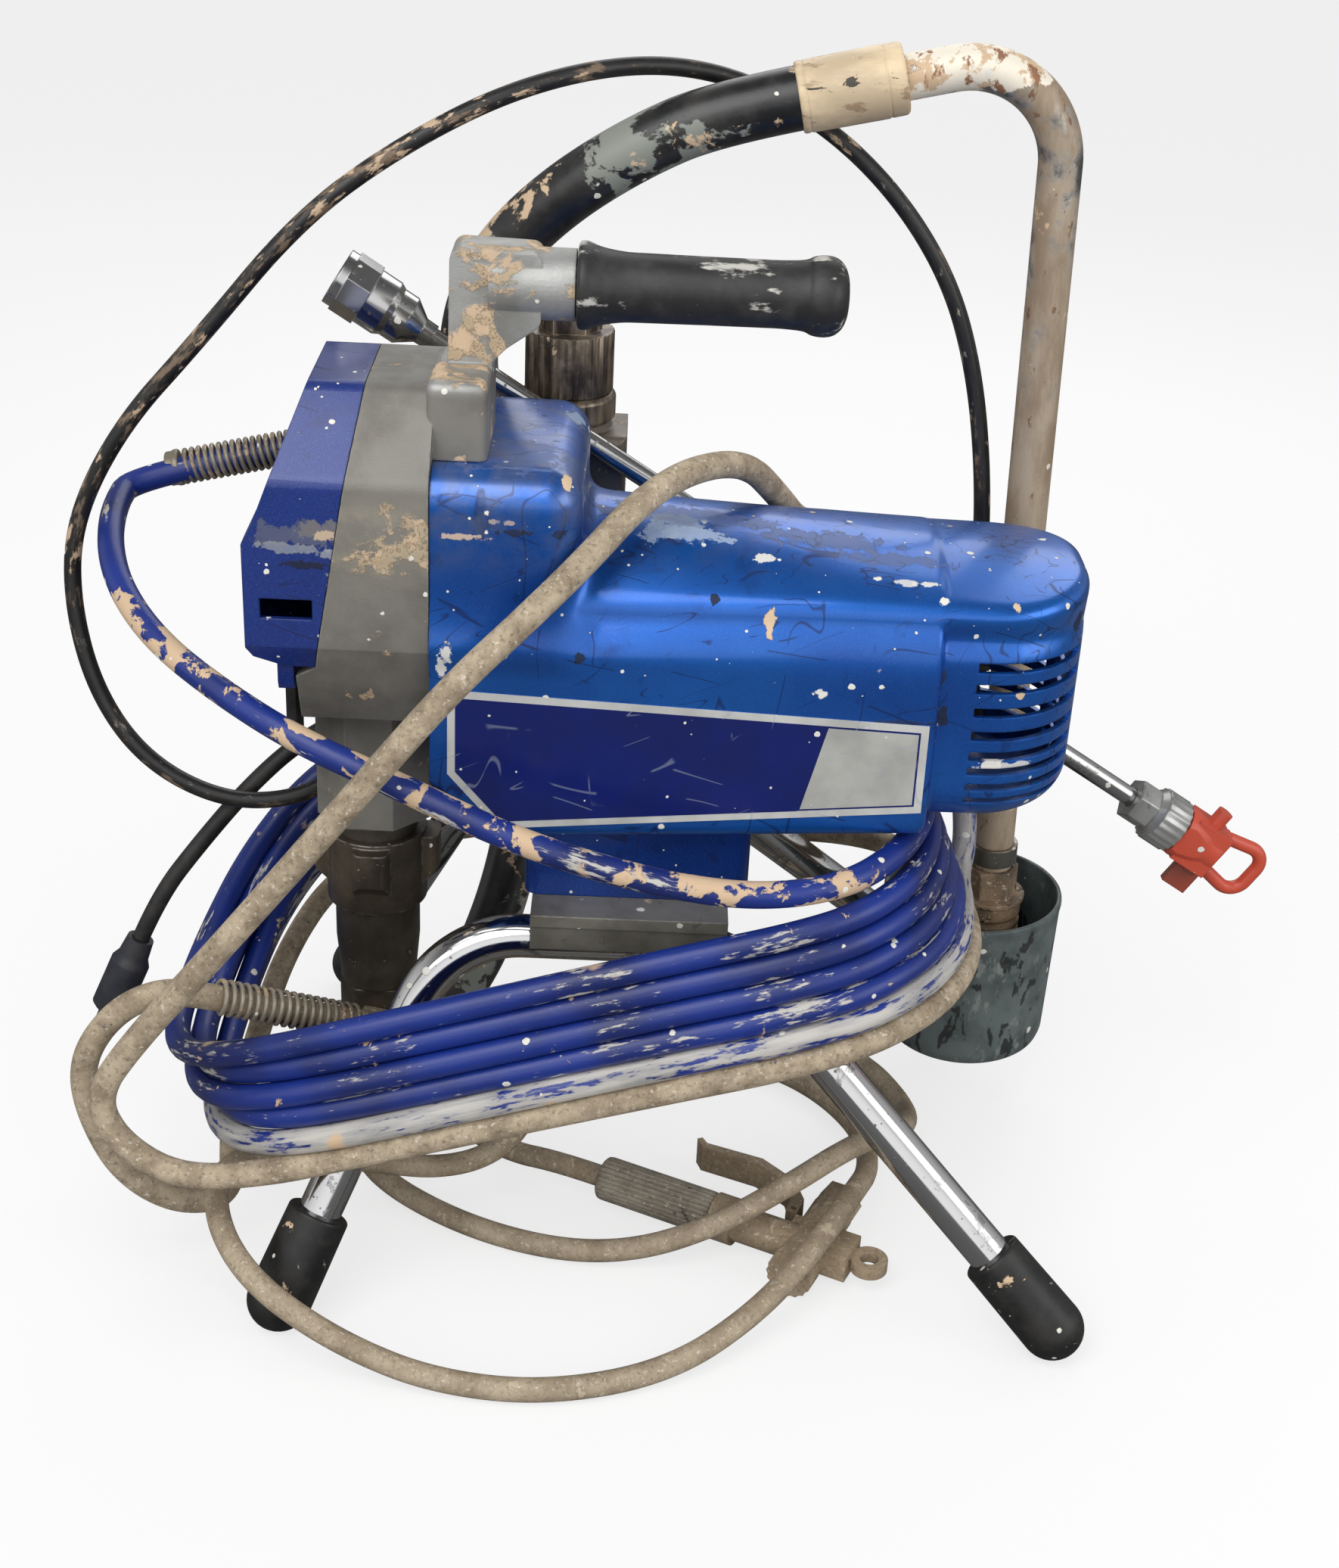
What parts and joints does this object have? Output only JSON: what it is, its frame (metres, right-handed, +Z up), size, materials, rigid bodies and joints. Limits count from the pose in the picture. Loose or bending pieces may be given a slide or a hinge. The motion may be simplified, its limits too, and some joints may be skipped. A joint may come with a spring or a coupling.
{
  "type": "airless paint sprayer",
  "caption": "Electric airless paint sprayer on a tubular stand, with suction hose, drip cup, coiled spray hose, gun and tip extension.",
  "frame": {"origin": "on the floor under the middle of the machine, without its hoses and cord", "axes": "+X along the motor to its rear, +Y away from the side with the gun, +Z up"},
  "size_m": [0.5954, 0.3576, 0.547],
  "materials": {
    "chrome_tube": "worn chrome plate",
    "rubber_black": "matt",
    "steel_grey": "worn",
    "zinc_bolts": "zinc plated",
    "shroud_blue": "metallic, scratched",
    "plastic_blue": "satin",
    "casting_grey": "painted die casting",
    "inner_steel": "machined",
    "dark_metal": "plated, stained with paint",
    "nickel_dark": "plated, knurled",
    "aluminium_cast": "cast",
    "black_plastic": "matt",
    "hose_black": "satin, with dried paint",
    "tan_steel": "coated with dried paint",
    "cup_charcoal": "satin",
    "guard_orange": "satin",
    "tip_dark": "satin",
    "hose_blue": "worn",
    "hose_beige": "coated with dried paint",
    "cord_black": "matt",
    "gun_tan": "coated with dried paint",
    "brass": "machined"
  },
  "bodies": {
    "machine": {"base_housing": "plastic_blue", "clamp_nut": "dark_metal", "control_box": "black_plastic", "cord_gland": "black_plastic", "drain_tube": "hose_black", "drive_housing": "casting_grey", "filter_collar": "nickel_dark", "fluid_fittings": "nickel_dark", "fluid_manifold": "aluminium_cast", "frame_bolts": "zinc_bolts", "frame_tube_far": "chrome_tube", "frame_tube_near": "chrome_tube", "front_cover": "plastic_blue", "gun_body": "gun_tan", "gun_grip": "gun_tan", "handle_grip": "rubber_black", "hose_coil": "hose_blue", "hose_ferrule": "tan_steel", "hose_lead": "hose_blue", "hose_run": "hose_beige", "hose_tail": "hose_beige", "inlet_elbow": "dark_metal", "intake_housing": "dark_metal", "lance_tip_end": "inner_steel", "lance_tube": "dark_metal", "lead_guard": "steel_grey", "motor_can": "inner_steel", "motor_shroud": "shroud_blue", "packing_nut": "brass", "power_cord": "cord_black", "power_plug": "black_plastic", "pump_cylinder": "dark_metal", "rubber_feet": "rubber_black", "rubber_flap": "rubber_black", "saddle_bracket": "steel_grey", "strainer": "black_plastic", "suction_hose": "hose_black", "suction_tube": "steel_grey", "tail_coil": "hose_beige", "tail_guard": "steel_grey", "whip_hose": "hose_beige"},
    "motor": {"motor_rotor": "inner_steel", "cooling_fan": "black_plastic", "pinion": "inner_steel"},
    "crank": {"drive_gear": "inner_steel", "crankshaft": "inner_steel"},
    "rod": {"connecting_rod": "inner_steel", "pump_rod": "inner_steel"},
    "ball": {"intake_ball": "inner_steel"},
    "filter_cap": {"filter_cap": "nickel_dark"},
    "prime_valve": {"prime_valve": "black_plastic"},
    "pressure_knob": {"pressure_knob": "black_plastic"},
    "power_switch": {"power_switch": "black_plastic"},
    "gun_trigger": {"gun_trigger": "gun_tan"},
    "lance_swivel": {"lance_swivel": "chrome_tube"},
    "retaining_nut": {"retaining_nut": "nickel_dark"},
    "tip_guard": {"tip_guard": "guard_orange"},
    "spray_tip": {"spray_tip": "tip_dark"},
    "drip_cup": {"drip_cup": "cup_charcoal", "cup_clip": "steel_grey"}
  },
  "joints": [
    {"name": "gear_turn", "type": "hinge", "parent": "machine", "child": "crank", "pos_m": [-0.1747, -0.0204, 0.35], "axis": [1, 0, 0], "continuous": true},
    {"name": "motor_spin", "type": "hinge", "parent": "machine", "child": "motor", "pos_m": [-0.0567, -0.0204, 0.292], "axis": [1, 0, 0], "continuous": true},
    {"name": "rod_stroke", "type": "slide", "parent": "machine", "child": "rod", "axis": [0, 0, 1], "range_m": [-0.01, 0.01]},
    {"name": "ball_lift", "type": "slide", "parent": "machine", "child": "ball", "axis": [0, 0, 1], "range_m": [0, 0.004]},
    {"name": "filter_cap_turn", "type": "hinge", "parent": "machine", "child": "filter_cap", "pos_m": [-0.1162, 0.0796, 0.395], "axis": [0, 0, 1], "range_deg": [0, 360]},
    {"name": "prime_valve_turn", "type": "hinge", "parent": "machine", "child": "prime_valve", "pos_m": [-0.2047, 0.1096, 0.345], "axis": [0, 1, 0], "range_deg": [0, 90]},
    {"name": "pressure_knob_turn", "type": "hinge", "parent": "machine", "child": "pressure_knob", "pos_m": [-0.0347, 0.1196, 0.268], "axis": [0, 1, 0], "range_deg": [-135, 135]},
    {"name": "power_switch_rock", "type": "hinge", "parent": "machine", "child": "power_switch", "pos_m": [0.0313, 0.1126, 0.268], "axis": [0, 0, 1], "range_deg": [0, 12]},
    {"name": "gun_trigger_pull", "type": "hinge", "parent": "machine", "child": "gun_trigger", "pos_m": [0.0094, -0.07157, 0.012], "axis": [0, 0, 1], "range_deg": [0, 14], "stiffness_Nm_per_rad": 0.5},
    {"name": "lance_swivel_turn", "type": "hinge", "parent": "machine", "child": "lance_swivel", "pos_m": [-0.2087, 0.0516, 0.4285], "axis": [0.8474, 0, -0.531], "continuous": true},
    {"name": "retaining_nut_turn", "type": "hinge", "parent": "machine", "child": "retaining_nut", "pos_m": [0.1903, 0.0516, 0.1785], "axis": [0.8474, 0, -0.531], "range_deg": [0, 360]},
    {"name": "tip_guard_turn", "type": "hinge", "parent": "machine", "child": "tip_guard", "pos_m": [0.19877, 0.0516, 0.17319], "axis": [0.8474, 0, -0.531], "range_deg": [-90, 90]},
    {"name": "spray_tip_turn", "type": "hinge", "parent": "tip_guard", "child": "spray_tip", "pos_m": [0.21572, 0.0516, 0.16257], "axis": [-0.531, 0, -0.8474], "range_deg": [0, 180]},
    {"name": "drip_cup_swing", "type": "hinge", "parent": "machine", "child": "drip_cup", "pos_m": [0.1108, 0.0676, 0.139], "axis": [-0.0281, 0, 0.9996], "range_deg": [-20, 20]}
  ],
  "couplings": [
    {"joint": "motor_spin", "follows": "gear_turn", "ratio": -4.8}
  ]
}
